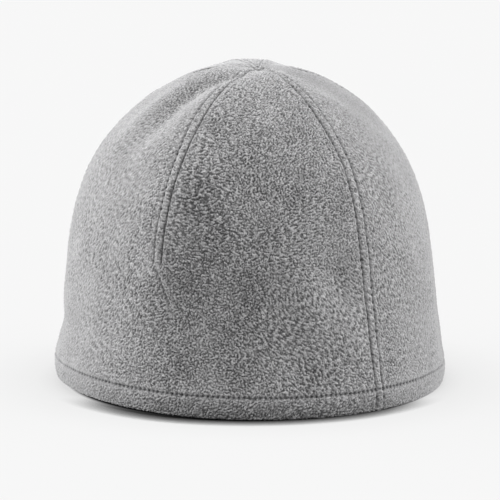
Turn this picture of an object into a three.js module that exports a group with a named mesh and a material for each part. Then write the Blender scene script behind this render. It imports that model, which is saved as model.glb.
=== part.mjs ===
// Fleece cap, standing by itself on its open rim.
// Millimetres, +Z up. The origin is on the surface it stands on, below the middle of the cap. The front faces -Y.
//
// The crown is two halves of fleece, each cut with three pointed lobes. The long seam joins the halves over the top,
// the slots between the lobes are closed by darts, and the lower edge is turned up inside as a hem of double cloth.
import * as THREE from 'three';

// ---- Named sizes -------------------------------------------------------------------------------------------------
const DEPTH_RATIO = 1.04;      // front-to-back over side-to-side
const CLOTH = 2.0;             // one layer of fleece with its pile
const HEM_TALL = 10.4;         // height of the turned-up hem, up to its row of stitches
const HEM_THICK = 4.4;         // two layers
const HEM_BULGE = 0.35;        // how far the hem rolls out past the wall
const WELT_PROUD = 0.45;       // how far a stitched seam stands out
const WELT_INSIDE = 1.5;       // the seam allowance behind it
const GAP = 0.3;               // between sewn pieces
const GATHER = { x: 4.4, y: -7, sink: 2.4, reach: 7.5, from: 80 };   // where the seams meet: place, dip, and the radius where they start to lean to it
const LOBE_TIP = 4.2;          // radius where a lobe ends under the meeting seams
const CREASE_ROUND = 60;       // height along the wall where the lobes are flat in full

// ---- Tables ------------------------------------------------------------------------------------------------------
// The wall from the table up to the top: height, and half of the width there.
const WALL = [
  { z: 0.0, half: 93.9 },
  { z: 4.3, half: 94.6 },
  { z: 9.2, half: 95.0 },
  { z: 18.0, half: 93.5 },
  { z: 34.7, half: 91.1 },
  { z: 54.3, half: 89.3 },
  { z: 73.9, half: 87.0 },
  { z: 93.5, half: 82.2 },
  { z: 110.2, half: 75.0 },
  { z: 124.9, half: 64.6 },
  { z: 136.7, half: 52.5 },
  { z: 145.5, half: 38.7 },
  { z: 151.4, half: 24.4 },
  { z: 154.8, half: 0.0 },
];

// How high the rim is off the table at each azimuth (0 is the front, positive to the right).
const RIM_LIFT = [
  { azimuth: -125, lift: 0 },
  { azimuth: -108, lift: 1.2 },
  { azimuth: -90, lift: 2.3 },
  { azimuth: -70, lift: 2.8 },
  { azimuth: -50, lift: 2.4 },
  { azimuth: -30, lift: 1.7 },
  { azimuth: -15, lift: 1.0 },
  { azimuth: 0, lift: 0.5 },
  { azimuth: 15, lift: 0.2 },
  { azimuth: 28, lift: 0 },
];

// Seams by azimuth at five heights along the wall. `low` is where the seam starts, measured up along the wall.
const SEAM_STATIONS = [0, 80, 115, 150, 204];
const SEAMS = {
  centre_front:     { low: 0,  azimuth: [39.8, 38.2, 38.6, 37.2, 37.2] },
  dart_right:       { low: 68, azimuth: [97, 97, 97, 97, 97] },
  dart_back_right:  { low: 68, azimuth: [158, 158, 157.8, 157.5, 157] },
  centre_back:      { low: 0,  azimuth: [217.5, 217.4, 217.3, 217.2, 217.2] },
  dart_left:        { low: 68, azimuth: [269, 269, 268.5, 268, 267.5] },
  dart_front_left:  { low: 68, azimuth: [331.9, 332.1, 332.95, 333.9, 334.4] },
};
const SEAM_HALF_WIDTH = [
  { up: 0, half: 2.3 },
  { up: 150, half: 2.2 },
  { up: 190, half: 1.45 },
  { up: 204, half: 1.2 },
];

// How much flatter the cloth is between two seams than at them.
const LOBE_FLAT = [
  { up: 0, depth: 0.3 },
  { up: 30, depth: 0.9 },
  { up: CREASE_ROUND, depth: 1.6 },
  { up: 130, depth: 1.9 },
  { up: 170, depth: 1.3 },
  { up: 195, depth: 0.4 },
  { up: 204, depth: 0 },
];

// Folds and dents: the middle by azimuth and distance up the wall, half length, half width, turn from upright
// (degrees, positive leans its top to the right), and depth (negative stands out).
const FOLDS = [
  { name: 'upper left valley, foot',      azimuth: -53.5, up: 134,   long: 18, wide: 9.5, turn: 2,   depth: 1.9 },
  { name: 'upper left valley, middle',    azimuth: -50,   up: 150,   long: 18, wide: 10,  turn: 14,  depth: 2.4 },
  { name: 'upper left valley, rise',      azimuth: -42.5, up: 169,   long: 16, wide: 9,   turn: 30,  depth: 2.2 },
  { name: 'upper left valley, top',       azimuth: -31.5, up: 179.5, long: 8.5,wide: 5.5, turn: 45,  depth: 1.4 },
  { name: 'upper left crest, top',        azimuth: -33.5, up: 168,   long: 15, wide: 6.5, turn: 23,  depth: -0.6 },
  { name: 'upper left crest, foot',       azimuth: -34.5, up: 144,   long: 22, wide: 7,   turn: 4,   depth: -0.8 },
  { name: 'swell outside the valley',     azimuth: -66,   up: 150,   long: 26, wide: 6.5, turn: 6,   depth: -1.6 },
  { name: 'upper right crest',            azimuth: 61.5,  up: 138,   long: 20, wide: 6.5, turn: -14, depth: -0.8 },
  { name: 'upper right valley',           azimuth: 80,    up: 138,   long: 22, wide: 8,   turn: -24, depth: 1.2 },
  { name: 'dip beside the junction',      azimuth: 60,    up: 181,   long: 8,  wide: 5,   turn: 0,   depth: 0.7 },
  { name: 'bump behind the junction',     azimuth: 190,   up: 193,   long: 6,  wide: 11,  turn: 0,   depth: -1.2 },
  { name: 'dent by the long seam',        azimuth: 28.3,  up: 66.5,  long: 16, wide: 9.5, turn: -2,  depth: 2.5 },
  { name: 'swell left of the dent',       azimuth: 16.5,  up: 52.5,  long: 18, wide: 10.5,turn: -12, depth: -3.0 },
  { name: 'soft fold to the hem',         azimuth: 30.4,  up: 38,    long: 24, wide: 9,   turn: -34, depth: -1.4 },
  { name: 'hollow in the front',          azimuth: 7.5,   up: 47.5,  long: 22, wide: 12,  turn: -42, depth: 0.4 },
  { name: 'hollow over the left hem',     azimuth: -84,   up: 29,    long: 8,  wide: 34,  turn: 0,   depth: 1.5 },
  { name: 'fall of the left shoulder',    azimuth: -86,   up: 148,   long: 26, wide: 16,  turn: 0,   depth: 1.2 },
  { name: 'swell of the right wall',      azimuth: 69,    up: 50,    long: 31, wide: 19,  turn: 0,   depth: -2.0 },
  { name: 'back dent',                    azimuth: 186,   up: 92,    long: 26, wide: 15,  turn: 18,  depth: 1.4 },
  { name: 'back fold over the hem',       azimuth: 150,   up: 40,    long: 10, wide: 24,  turn: 0,   depth: 0.8 },
  { name: 'swell along the front dart',   azimuth: -25.5, up: 76,    long: 61, wide: 20,  turn: -3,  depth: -1.9 },
  { name: 'ridge beside the front dart',  azimuth: -26.7, up: 90,    long: 38, wide: 12,  turn: 18,  depth: -2.3 },
  { name: 'hollow left of the dart',      azimuth: -44,   up: 63,    long: 26, wide: 10,  turn: -8,  depth: 0.6 },
  { name: 'swell of the upper front',     azimuth: -12,   up: 110,   long: 27, wide: 15,  turn: -4,  depth: -1.0 },
  { name: 'swell of the front',           azimuth: 9,     up: 102,   long: 31, wide: 14,  turn: -8,  depth: -1.5 },
  { name: 'hollow right of the long seam',azimuth: 49,    up: 113,   long: 21, wide: 9,   turn: 0,   depth: 0.5 },
  { name: 'hollow along the long seam',   azimuth: 38.5,  up: 95.5,  long: 32, wide: 9,   turn: 1,   depth: 0.7 },
];

// The hem's section, from the inner foot round: across the cloth (0 is the outer face, 1 the inner one), and height.
const HEM_SECTION = [
  { across: 0.22, z: 0.0 },
  { across: 0.06, z: 0.35 },
  { across: 0.0, z: 1.3 },
  { across: 0.0, z: 4.4 },
  { across: 0.0, z: 7.6 },
  { across: 0.04, z: 9.6 },
  { across: 0.2, z: HEM_TALL },
  { across: 0.8, z: HEM_TALL },
  { across: 0.96, z: 9.6 },
  { across: 1.0, z: 5.0 },
  { across: 1.0, z: 1.5 },
  { across: 0.93, z: 0.45 },
  { across: 0.77, z: 0.0 },
];
const HEM_COLUMNS = 72;
const LOBE_COLUMNS = 8;
const COLOURS = { cloth: 0x8c8d8e, cloth_far: 0x878889, welt: 0x949596, hem: 0x8a8b8c };

// ---- Curves through the tables -----------------------------------------------------------------------------------
const rad = (deg) => (deg * Math.PI) / 180;
const clamp = (v, lo, hi) => Math.min(hi, Math.max(lo, v));
const smooth = (v) => { const t = clamp(v, 0, 1); return t * t * (3 - 2 * t); };

// A smooth curve through (x, y) rows: cubic pieces whose slopes come from the neighbours on each side.
function through(xs, ys, firstSlope, lastSlope) {
  const n = xs.length;
  const slope = (i) => (ys[i + 1] - ys[i]) / (xs[i + 1] - xs[i]);
  const m = ys.map((_, i) => {
    if (i === 0) return firstSlope ?? slope(0);
    if (i === n - 1) return lastSlope ?? slope(n - 2);
    const a = xs[i] - xs[i - 1], b = xs[i + 1] - xs[i];
    return (slope(i - 1) * b + slope(i) * a) / (a + b);
  });
  return (x) => {
    if (x <= xs[0]) return ys[0];
    if (x >= xs[n - 1]) return ys[n - 1];
    let i = 0;
    while (x > xs[i + 1]) i += 1;
    const h = xs[i + 1] - xs[i], t = (x - xs[i]) / h;
    return (1 + 2 * t) * (1 - t) ** 2 * ys[i] + t * (1 - t) ** 2 * h * m[i]
      + t * t * (3 - 2 * t) * ys[i + 1] + t * t * (t - 1) * h * m[i + 1];
  };
}
const column = (rows, key) => rows.map((row) => row[key]);

// The wall as a curve by its own length.
const wallUp = WALL.reduce((sum, row, i) => {
  const last = WALL[i - 1];
  return [...sum, i ? sum[i - 1] + Math.hypot(row.z - last.z, row.half - last.half) : 0];
}, []);
const WALL_LENGTH = wallUp[wallUp.length - 1];
const wallHalf = through(wallUp, column(WALL, 'half'), undefined, -1);
const wallZ = through(wallUp, column(WALL, 'z'), undefined, 0);
const STEPS = 600;
const samples = Array.from({ length: STEPS + 1 }, (_, i) => {
  const up = 15 + ((WALL_LENGTH - 15) * i) / STEPS;
  return { up, half: wallHalf(up) };
});
// How far up the wall its half width is this, above the hem.
function upAtHalf(half) {
  let lo = 0, hi = STEPS;
  if (half >= samples[0].half) return samples[0].up;
  while (hi - lo > 1) {
    const mid = (lo + hi) >> 1;
    if (samples[mid].half > half) lo = mid; else hi = mid;
  }
  const a = samples[lo], b = samples[hi];
  return a.up + ((b.up - a.up) * (a.half - half)) / Math.max(a.half - b.half, 1e-9);
}

const halfWidthOfSeam = through(column(SEAM_HALF_WIDTH, 'up'), column(SEAM_HALF_WIDTH, 'half'));
const lobeFlat = through(column(LOBE_FLAT, 'up'), column(LOBE_FLAT, 'depth'));
const liftCurve = through(column(RIM_LIFT, 'azimuth'), column(RIM_LIFT, 'lift'), 0, 0);
const seamCurves = Object.fromEntries(Object.entries(SEAMS).map(([name, seam]) => [name, through(SEAM_STATIONS, seam.azimuth)]));
const seamAzimuth = (name, up) => seamCurves[name](up);
const ORDER = ['centre_front', 'dart_right', 'dart_back_right', 'centre_back', 'dart_left', 'dart_front_left'];

// An azimuth as -180 to 180.
const near = (azimuth) => ((((azimuth + 180) % 360) + 360) % 360) - 180;
const lift = (azimuth) => liftCurve(near(azimuth));

// 0 at a seam and 1 midway between two seams.
function betweenSeams(azimuth, up) {
  const a = (((azimuth - seamAzimuth('centre_front', up)) % 360) + 360) % 360;
  const marks = [...ORDER.map((name) => seamAzimuth(name, up) - seamAzimuth('centre_front', up)), 360];
  let k = 0;
  while (k < ORDER.length - 1 && a > marks[k + 1]) k += 1;
  return Math.sin(Math.PI * clamp((a - marks[k]) / (marks[k + 1] - marks[k]), 0, 1)) ** 1.5;
}

// How far the cloth stands out at a point, from its flats, folds and the dip where the seams meet.
function relief(azimuth, up, half, fromGather) {
  let out = -lobeFlat(up) * betweenSeams(azimuth, up);
  for (const fold of FOLDS) {
    const across = rad(near(azimuth - fold.azimuth)) * half;
    const along = up - fold.up;
    const c = Math.cos(rad(fold.turn)), s = Math.sin(rad(fold.turn));
    const l = (along * c + across * s) / fold.long, w = (across * c - along * s) / fold.wide;
    out -= fold.depth * Math.exp(-(l * l + w * w));
  }
  return out - GATHER.sink * Math.exp(-((fromGather / GATHER.reach) ** 2));
}

// The outer face: a place by azimuth round the moving middle of the seams and by distance up the wall.
function outerFace(azimuth, up, ring = wallHalf(up)) {
  const lean = (1 - clamp(ring / GATHER.from, 0, 1)) ** 2;
  const x = GATHER.x * lean + ring * Math.sin(rad(azimuth));
  const y = GATHER.y * lean - DEPTH_RATIO * ring * Math.cos(rad(azimuth));
  const planX = x, planY = y / DEPTH_RATIO, plan = Math.hypot(planX, planY);
  const at = lean > 0 ? upAtHalf(plan) : up;
  const z = wallZ(at);
  const e = 0.5, dz = wallZ(at + e) - wallZ(at - e), dr = wallHalf(at + e) - wallHalf(at - e);
  const len = Math.hypot(dz, dr) || 1;
  const side = plan > 1e-6 ? dz / len / plan : 0;
  const normal = new THREE.Vector3(planX * side, (planY * side) / DEPTH_RATIO, -dr / len).normalize();
  const fromGather = Math.hypot(x - GATHER.x, y - GATHER.y);
  const out = relief(azimuth, at, plan, fromGather);
  const raise = lift(azimuth) * (1 - smooth(z / 60));
  return { point: new THREE.Vector3(x, y, z).addScaledVector(normal, out).add(new THREE.Vector3(0, 0, raise)), normal };
}
const shift = ({ point, normal }, by) => point.clone().addScaledVector(normal, by);
const shiftLevel = ({ point, normal }, by) => point.clone().addScaledVector(new THREE.Vector3(normal.x, normal.y, 0).normalize(), by);

// A place beside a seam, `aside` millimetres to its right. Close to the top the ring grows so that the seam stays straight.
function besideSeam(name, up, aside) {
  const r = Math.max(wallHalf(up), 1e-3);
  const open = 1 - smooth((r - 8) / 17);
  return { azimuth: seamAzimuth(name, up) + (Math.atan2(aside, r) * 180) / Math.PI, ring: Math.sqrt(r * r + aside * aside * open) };
}

// ---- Solids ------------------------------------------------------------------------------------------------------
function mesh(name, colour, points, quads) {
  const index = quads.flatMap(([a, b, c, d]) => {
    const ac = points[a].distanceToSquared(points[c]), bd = points[b].distanceToSquared(points[d]);
    return ac <= bd ? [a, b, c, a, c, d] : [a, b, d, b, c, d];
  });
  const geometry = new THREE.BufferGeometry();
  geometry.setAttribute('position', new THREE.Float32BufferAttribute(points.flatMap((p) => p.toArray()), 3));
  geometry.setIndex(index);
  geometry.computeVertexNormals();
  const made = new THREE.Mesh(geometry, new THREE.MeshStandardMaterial({ color: colour, roughness: 0.95, metalness: 0 }));
  made.name = name;
  return made;
}

// A wall of cloth: an outer and an inner face over the filled cells of a grid, closed along every edge of what is filled.
function clothSolid(name, colour, rows, columns, filled, outer, inner) {
  const points = [], quads = [], seen = new Map();
  const id = (i, j, face) => {
    const key = `${i},${j},${face}`;
    if (!seen.has(key)) {
      seen.set(key, points.length);
      points.push(face ? inner(i, j) : outer(i, j));
    }
    return seen.get(key);
  };
  const has = (i, j) => i >= 0 && j >= 0 && i < rows && j < columns && filled(i, j);
  for (let i = 0; i < rows; i += 1) {
    for (let j = 0; j < columns; j += 1) {
      if (!has(i, j)) continue;
      const corners = [[i, j], [i, j + 1], [i + 1, j + 1], [i + 1, j]];
      quads.push(corners.map(([a, b]) => id(a, b, 0)));
      quads.push(corners.map(([a, b]) => id(a, b, 1)).reverse());
      const beyond = [[i - 1, j], [i, j + 1], [i + 1, j], [i, j - 1]];
      beyond.forEach(([a, b], side) => {
        if (has(a, b)) return;
        const p = corners[side], q = corners[(side + 1) % 4];
        quads.push([id(...q, 0), id(...p, 0), id(...p, 1), id(...q, 1)]);
      });
    }
  }
  return mesh(name, colour, points, quads);
}

// Heights of the rows of a wall, `dartRow` among them.
const CROWN_LOW = HEM_TALL + GAP + 0.1;
const tipUp = upAtHalf(LOBE_TIP);
const DART_LOW = SEAMS.dart_left.low;
const spread = (from, to, count) => Array.from({ length: count }, (_, i) => from + ((to - from) * i) / count);
const crownRows = [...spread(CROWN_LOW, DART_LOW, 7), ...spread(DART_LOW, 150, 9), ...spread(150, tipUp, 7), tipUp];
const dartRow = 7;

// One half of the crown, from one arm of the long seam to the other, past two darts.
function crownHalf(name, colour, seams) {
  const edge = (i, seam, side) => besideSeam(seam, crownRows[i], side * (halfWidthOfSeam(crownRows[i]) + GAP / 2));
  const columns = 3 * LOBE_COLUMNS + 2;
  // Columns run lobe, slot, lobe, slot, lobe.
  const place = (i, j) => {
    const lobe = Math.min(2, Math.floor(j / (LOBE_COLUMNS + 1)));
    const part = (j - lobe * (LOBE_COLUMNS + 1)) / LOBE_COLUMNS;
    const a = edge(i, seams[lobe], 1), b = edge(i, seams[lobe + 1], -1);
    const turn = b.azimuth < a.azimuth ? 360 : 0;
    const azimuth = a.azimuth + (b.azimuth + turn - a.azimuth) * part;
    return outerFace(azimuth, crownRows[i], a.ring + (b.ring - a.ring) * part);
  };
  const slot = (j) => j % (LOBE_COLUMNS + 1) === LOBE_COLUMNS;
  return clothSolid(name, colour, crownRows.length - 1, columns,
    (i, j) => !slot(j) || i < dartRow,
    (i, j) => place(i, j).point,
    (i, j) => (i ? shift : shiftLevel)(place(i, j), -CLOTH));
}

// A welt: a strip along a path of stations, each giving the outer face `aside` of the seam's middle.
const WELT_SECTION = [{ aside: -1, proud: -0.05 }, { aside: -0.45, proud: 1 }, { aside: 0.45, proud: 1 }, { aside: 1, proud: -0.05 }];
function welt(name, stations) {
  const move = (i) => (stations[i].up === CROWN_LOW ? shiftLevel : shift);   // level where it stands on the hem
  const at = (i, j) => {
    const { seam, up, flip } = stations[i];
    const wide = halfWidthOfSeam(up) - GAP / 2;
    const { azimuth, ring } = besideSeam(seam, up, (flip ? -1 : 1) * WELT_SECTION[j].aside * wide);
    return outerFace(azimuth, up, ring);
  };
  return clothSolid(name, COLOURS.welt, stations.length - 1, WELT_SECTION.length - 1, () => true,
    (i, j) => move(i)(at(i, j), WELT_PROUD * WELT_SECTION[j].proud),
    (i, j) => move(i)(at(i, j), -CLOTH - WELT_INSIDE * (WELT_SECTION[j].proud > 0.5 ? 1 : 0.35)));
}
const dartStations = (seam, endHalf) => [DART_LOW + GAP, ...crownRows.slice(dartRow + 1).filter((up) => wallHalf(up) > endHalf + 1.5), upAtHalf(endHalf)]
  .map((up) => ({ seam, up }));
const topRows = [6.6, 4.2, 2.1].map(upAtHalf);
const centreRows = [...crownRows.filter((up) => wallHalf(up) > 8), ...topRows];
const centreStations = [
  ...centreRows.map((up) => ({ seam: 'centre_front', up })),
  { seam: 'centre_front', up: WALL_LENGTH },
  ...[...centreRows].reverse().map((up) => ({ seam: 'centre_back', up, flip: true })),
];

// The hem: a closed section swept round the rim.
function hemBand() {
  const points = [], quads = [], n = HEM_SECTION.length;
  for (let j = 0; j < HEM_COLUMNS; j += 1) {
    const azimuth = (360 * j) / HEM_COLUMNS;
    const foot = lift(azimuth);
    for (const { across, z } of HEM_SECTION) {
      const { point, normal } = outerFace(azimuth, z);
      const flat = new THREE.Vector3(normal.x, normal.y, 0).normalize();
      const roll = HEM_BULGE * Math.sin(Math.PI * clamp(z / HEM_TALL, 0, 1));
      point.addScaledVector(flat, roll * (across < 0.5 ? 1 : 0) - HEM_THICK * across);
      point.z = z + foot * (1 - smooth(z / 60));
      points.push(point);
    }
  }
  for (let j = 0; j < HEM_COLUMNS; j += 1) {
    const next = (j + 1) % HEM_COLUMNS;
    for (let k = 0; k < n; k += 1) {
      const up = (k + 1) % n;
      quads.push([j * n + k, next * n + k, next * n + up, j * n + up]);
    }
  }
  return mesh('hem_band', COLOURS.hem, points, quads);
}

// ---- The cap -----------------------------------------------------------------------------------------------------
const cap = new THREE.Group();
cap.name = 'fleece_cap';

const crown = new THREE.Group();
crown.add(
  crownHalf('crown_right', COLOURS.cloth_far, ['centre_front', 'dart_right', 'dart_back_right', 'centre_back']),
  crownHalf('crown_left', COLOURS.cloth, ['centre_back', 'dart_left', 'dart_front_left', 'centre_front']),
);

const seams = new THREE.Group();
seams.add(
  welt('centre_seam_welt', centreStations),
  welt('dart_welt_front_left', dartStations('dart_front_left', 3.6)),
  welt('dart_welt_left', dartStations('dart_left', 3.6)),
  welt('dart_welt_right', dartStations('dart_right', 3.6)),
  welt('dart_welt_back_right', dartStations('dart_back_right', 3.6)),
);

cap.add(crown, seams, hemBand());

export default cap;
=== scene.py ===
import math
import bpy
import numpy as np
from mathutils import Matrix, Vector


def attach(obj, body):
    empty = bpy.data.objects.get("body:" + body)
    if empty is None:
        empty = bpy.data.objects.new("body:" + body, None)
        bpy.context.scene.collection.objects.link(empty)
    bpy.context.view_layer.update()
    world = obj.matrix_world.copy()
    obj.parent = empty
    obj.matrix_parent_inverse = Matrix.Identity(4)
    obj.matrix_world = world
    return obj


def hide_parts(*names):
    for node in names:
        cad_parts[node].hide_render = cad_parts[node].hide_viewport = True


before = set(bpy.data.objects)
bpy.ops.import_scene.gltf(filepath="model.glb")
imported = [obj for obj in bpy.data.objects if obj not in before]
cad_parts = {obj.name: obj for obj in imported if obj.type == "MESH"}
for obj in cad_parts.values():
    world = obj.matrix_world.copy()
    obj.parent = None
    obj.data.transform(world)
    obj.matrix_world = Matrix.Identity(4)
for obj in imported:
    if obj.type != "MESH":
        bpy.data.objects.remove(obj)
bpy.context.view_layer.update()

# Fleece cap. Everything is worked out in millimetres and written in metres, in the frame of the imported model:
# +Z up, the side seen in the photo faces -Y, azimuth 0 is that side and grows to the right.
MM = 0.001

# ---- Camera ------------------------------------------------------------------------------------------------------
CAMERA_MM = 1600.0
CAMERA_RISE = math.radians(9.936)
AIM_Z = 62.87
camera_data = bpy.data.cameras.new("camera")
camera = bpy.data.objects.new("camera", camera_data)
bpy.context.scene.collection.objects.link(camera)
camera_data.sensor_width = 36.0
camera_data.lens = 3295.73 * 36.0 / 500.0
camera_data.clip_start, camera_data.clip_end = 0.05, 60.0
back = Vector((0.0, -math.cos(CAMERA_RISE), math.sin(CAMERA_RISE)))
camera.location = Vector((0, 0, AIM_Z * MM)) + back * CAMERA_MM * MM
camera.rotation_euler = (-back).to_track_quat("-Z", "Y").to_euler()
bpy.context.scene.camera = camera

# ---- Sizes, the same as the model's ------------------------------------------------------------------------------
DEPTH_RATIO = 1.04
CLOTH = 2.0
HEM_TALL = 10.4
HEM_THICK = 4.4
HEM_BULGE = 0.35
WELT_INSIDE = 1.5
GATHER_X, GATHER_Y, GATHER_SINK, GATHER_REACH, GATHER_FROM = 4.4, -7.0, 2.4, 7.5, 80.0

WALL = [(0.0, 93.9), (4.3, 94.6), (9.2, 95.0), (18.0, 93.5), (34.7, 91.1), (54.3, 89.3), (73.9, 87.0), (93.5, 82.2),
        (110.2, 75.0), (124.9, 64.6), (136.7, 52.5), (145.5, 38.7), (151.4, 24.4), (154.8, 0.0)]
RIM_LIFT = [(-125, 0), (-108, 1.2), (-90, 2.3), (-70, 2.8), (-50, 2.4), (-30, 1.7), (-15, 1.0), (0, 0.5), (15, 0.2),
            (28, 0)]
SEAM_STATIONS = [0, 80, 115, 150, 204]
SEAMS = {
    "centre_front": (0, [39.8, 38.2, 38.6, 37.2, 37.2]),
    "dart_right": (68, [97, 97, 97, 97, 97]),
    "dart_back_right": (68, [158, 158, 157.8, 157.5, 157]),
    "centre_back": (0, [217.5, 217.4, 217.3, 217.2, 217.2]),
    "dart_left": (68, [269, 269, 268.5, 268, 267.5]),
    "dart_front_left": (68, [331.9, 332.1, 332.95, 333.9, 334.4]),
}
ORDER = list(SEAMS)
SEAM_HALF_WIDTH = [(0, 2.3), (150, 2.2), (190, 1.45), (204, 1.2)]
CENTRE_NARROWER = 0.93         # the long seam's share of that width
LOBE_FLAT = [(0, 0.3), (30, 0.9), (60, 1.6), (130, 1.9), (170, 1.3), (195, 0.4), (204, 0)]
# azimuth, up the wall, half length, half width, turn from upright, depth
FOLDS = [
    (-53.5, 134, 18, 9.5, 2, 1.9), (-50, 150, 18, 10, 14, 2.4), (-42.5, 169, 16, 9, 30, 2.2),
    (-31.5, 179.5, 8.5, 5.5, 45, 1.4), (-33.5, 168, 15, 6.5, 23, -0.6), (-34.5, 144, 22, 7, 4, -0.8),
    (-66, 150, 26, 6.5, 6, -1.6), (61.5, 138, 20, 6.5, -14, -0.8), (80, 138, 22, 8, -24, 1.2),
    (60, 181, 8, 5, 0, 0.7), (190, 193, 6, 11, 0, -1.2), (28.3, 66.5, 16, 9.5, -2, 2.5),
    (16.5, 52.5, 18, 10.5, -12, -3.0), (30.4, 38, 24, 9, -34, -1.4), (7.5, 47.5, 22, 12, -42, 0.4),
    (-84, 29, 8, 34, 0, 1.5), (-86, 148, 26, 16, 0, 1.2), (69, 50, 31, 19, 0, -2.0), (186, 92, 26, 15, 18, 1.4),
    (150, 40, 10, 24, 0, 0.8), (-25.5, 76, 61, 20, -3, -1.9), (-26.7, 90, 38, 12, 18, -2.3),
    (-44, 63, 26, 10, -8, 0.6), (-12, 110, 27, 15, -4, -1.0), (9, 102, 31, 14, -8, -1.5), (49, 113, 21, 9, 0, 0.5),
    (38.5, 95.5, 32, 9, 1, 0.7),
]

# ---- Detail that only the visual model has -----------------------------------------------------------------------
GRID = 0.5                     # spacing of the outer face's points
INNER_STEP = 3                 # the inside's points, against the outer ones
HEM_TOP = 10.6                 # where the row of hem stitches lies, up the wall
HEM_PITCH = 2.4
SEAM_PITCH = 3.4
SEAM_TROUGH = 0.28             # how far a seam pulls the cloth in
NAP_DEPTH = 0.22               # half the height of the pile's tufts


def smooth(v):
    t = np.clip(v, 0.0, 1.0)
    return t * t * (3 - 2 * t)


def through(xs, ys, first=None, last=None):
    """A smooth curve through the rows, the same as the model's."""
    xs, ys = np.asarray(xs, float), np.asarray(ys, float)
    step, rise = np.diff(xs), np.diff(ys)
    slope = rise / step
    m = np.empty(len(xs))
    m[1:-1] = (slope[:-1] * step[1:] + slope[1:] * step[:-1]) / (step[:-1] + step[1:])
    m[0] = slope[0] if first is None else first
    m[-1] = slope[-1] if last is None else last

    def curve(x):
        x = np.clip(x, xs[0], xs[-1])
        i = np.clip(np.searchsorted(xs, x, side="left") - 1, 0, len(xs) - 2)
        h = step[i]
        t = (x - xs[i]) / h
        return ((1 + 2 * t) * (1 - t) ** 2 * ys[i] + t * (1 - t) ** 2 * h * m[i]
                + t * t * (3 - 2 * t) * ys[i + 1] + t * t * (t - 1) * h * m[i + 1])
    return curve


wall = np.array(WALL, float)
wall_up = np.concatenate([[0.0], np.cumsum(np.hypot(np.diff(wall[:, 0]), np.diff(wall[:, 1])))])
WALL_LENGTH = wall_up[-1]
wall_half = through(wall_up, wall[:, 1], None, -1.0)
wall_z = through(wall_up, wall[:, 0], None, 0.0)
_up = np.linspace(15, WALL_LENGTH, 2401)
_half = wall_half(_up)


def up_at_half(half):
    return np.interp(half, _half[::-1], _up[::-1])


_half_width = through(*zip(*SEAM_HALF_WIDTH))


def half_width_of_seam(name, up):
    if name == "dart_front_left":
        return _half_width(up) * (1 - 0.25 * smooth((150 - up) / 50))
    return _half_width(up) * (CENTRE_NARROWER if name.startswith("centre") else 1.0)



lobe_flat = through(*zip(*LOBE_FLAT))
lift_curve = through(*zip(*RIM_LIFT), 0.0, 0.0)
seam_azimuth = {name: through(SEAM_STATIONS, row[1]) for name, row in SEAMS.items()}


def near(azimuth):
    return (azimuth + 180.0) % 360.0 - 180.0


def rad(degrees):
    return degrees * math.pi / 180.0


def base_face(azimuth, up, ring):
    """A place on the smooth dome, with its normal, the length up the wall there and the plan radius."""
    lean = (1 - np.clip(ring / GATHER_FROM, 0, 1)) ** 2
    x = GATHER_X * lean + ring * np.sin(rad(azimuth))
    y = GATHER_Y * lean - DEPTH_RATIO * ring * np.cos(rad(azimuth))
    px, py = x, y / DEPTH_RATIO
    plan = np.hypot(px, py)
    at = np.where(lean > 0, up_at_half(plan), up)
    z = wall_z(at)
    dz = wall_z(at + 0.5) - wall_z(at - 0.5)
    dr = wall_half(at + 0.5) - wall_half(at - 0.5)
    length = np.maximum(np.hypot(dz, dr), 1e-9)
    side = np.where(plan > 1e-6, dz / length / np.maximum(plan, 1e-9), 0.0)
    normal = np.stack([px * side, py * side / DEPTH_RATIO, -dr / length], axis=-1)
    normal /= np.linalg.norm(normal, axis=-1, keepdims=True)
    return np.stack([x, y, z], axis=-1), normal, at, plan


def shape_of(azimuth, up, at, plan, x, y):
    """How far the cloth stands out from the dome: its flats, folds and the dip where the seams meet."""
    first = seam_azimuth["centre_front"](at)
    a = (azimuth - first) % 360.0
    marks = np.stack([seam_azimuth[n](at) - first for n in ORDER] + [np.full_like(at, 360.0)], axis=-1)
    k = np.clip((a[..., None] > marks[..., 1:]).sum(axis=-1), 0, len(ORDER) - 1)
    low = np.take_along_axis(marks, k[..., None], -1)[..., 0]
    high = np.take_along_axis(marks, k[..., None] + 1, -1)[..., 0]
    out = -lobe_flat(at) * np.sin(math.pi * np.clip((a - low) / (high - low), 0, 1)) ** 1.5
    for fold_azimuth, fold_up, long, wide, turn, depth in FOLDS:
        across = rad(near(azimuth - fold_azimuth)) * plan
        along = at - fold_up
        c, s = math.cos(rad(turn)), math.sin(rad(turn))
        out -= depth * np.exp(-(((along * c + across * s) / long) ** 2 + ((across * c - along * s) / wide) ** 2))
    gather = np.hypot(x - GATHER_X, y - GATHER_Y)
    return out - GATHER_SINK * np.exp(-((gather / GATHER_REACH) ** 2))


# ---- The nap's pattern: bands of filtered noise, each drawn out in one direction ---------------------------------
TILE, TEXEL = 1024, 0.25
random = np.random.default_rng(4107)
_white = np.fft.fft2(random.standard_normal((TILE, TILE)))
_f = np.fft.fftfreq(TILE, TEXEL)
_fv, _fu = np.meshgrid(_f, _f, indexing="ij")


def band(size, spread, angle=0.0, stretch=1.0):
    c, s = math.cos(angle), math.sin(angle)
    along, across = _fu * c + _fv * s, -_fu * s + _fv * c
    f = np.hypot(along * stretch, across)
    field = np.fft.ifft2(_white * np.exp(-((np.log(np.maximum(f, 1e-6) * size) / spread) ** 2))).real
    return (field / field.std()).astype(np.float32)


TURNS = 8
TUFT = 1.55
NAP_TURNED = [band(TUFT, 0.42, math.pi * k / TURNS, 2.5) for k in range(TURNS)]
NAP_ROUND = band(TUFT, 0.46)
NAP_FINE = band(1.0, 0.42)
NAP_WIDE = band(6.0, 0.6)
SLOW = band(34.0, 0.6)
SLOW_B = np.roll(SLOW, (311, 523), (0, 1))
SLOW_C = np.roll(SLOW, (700, 130), (0, 1))


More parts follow.
